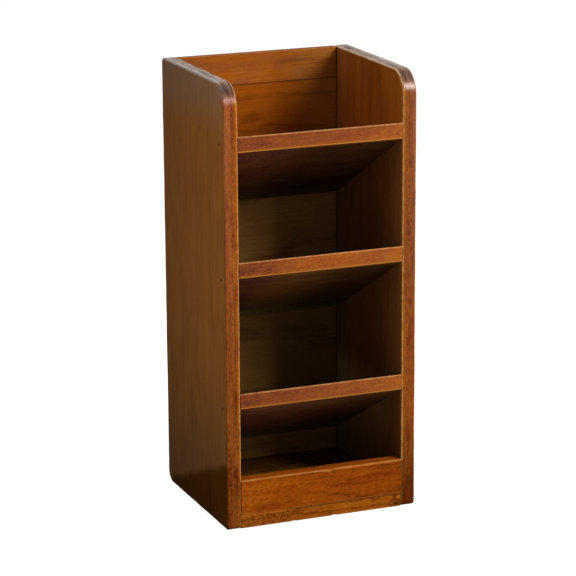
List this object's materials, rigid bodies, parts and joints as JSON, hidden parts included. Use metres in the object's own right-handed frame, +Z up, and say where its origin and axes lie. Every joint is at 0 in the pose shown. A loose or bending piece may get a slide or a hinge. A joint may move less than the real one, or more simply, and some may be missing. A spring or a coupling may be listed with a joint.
{
  "type": "tiered pencil rack",
  "caption": "Tall open-fronted wooden desk rack: two rounded side panels, three shelves that slope down to the back, a bottom board with a low front lip, and a boarded back.",
  "frame": {"origin": "on the table, in the middle of the footprint", "axes": "+X to the right, +Y from the open front to the back, +Z up"},
  "size_m": [0.135, 0.115, 0.297],
  "materials": {
    "side_wood": "satin lacquer over vertical grain",
    "shelf_wood": "satin lacquer over grain along the width",
    "back_wood": "satin lacquer over horizontal grain",
    "base_wood": "worn satin lacquer over grain along the width",
    "lip_wood": "satin lacquer over grain along the width",
    "nail_steel": "dull bare steel, stained"
  },
  "bodies": {
    "root": {"left_side_panel": "side_wood", "right_side_panel": "side_wood", "back_board_top": "back_wood", "back_board_middle": "back_wood", "back_board_bottom": "back_wood", "upper_shelf": "shelf_wood", "middle_shelf": "shelf_wood", "lower_shelf": "shelf_wood", "bottom_board": "base_wood", "front_lip": "lip_wood", "upper_shelf_nails": "nail_steel", "middle_shelf_nails": "nail_steel", "lower_shelf_nails": "nail_steel", "bottom_board_nails": "nail_steel", "front_lip_nails": "nail_steel", "rear_nails": "nail_steel"}
  },
  "joints": []
}
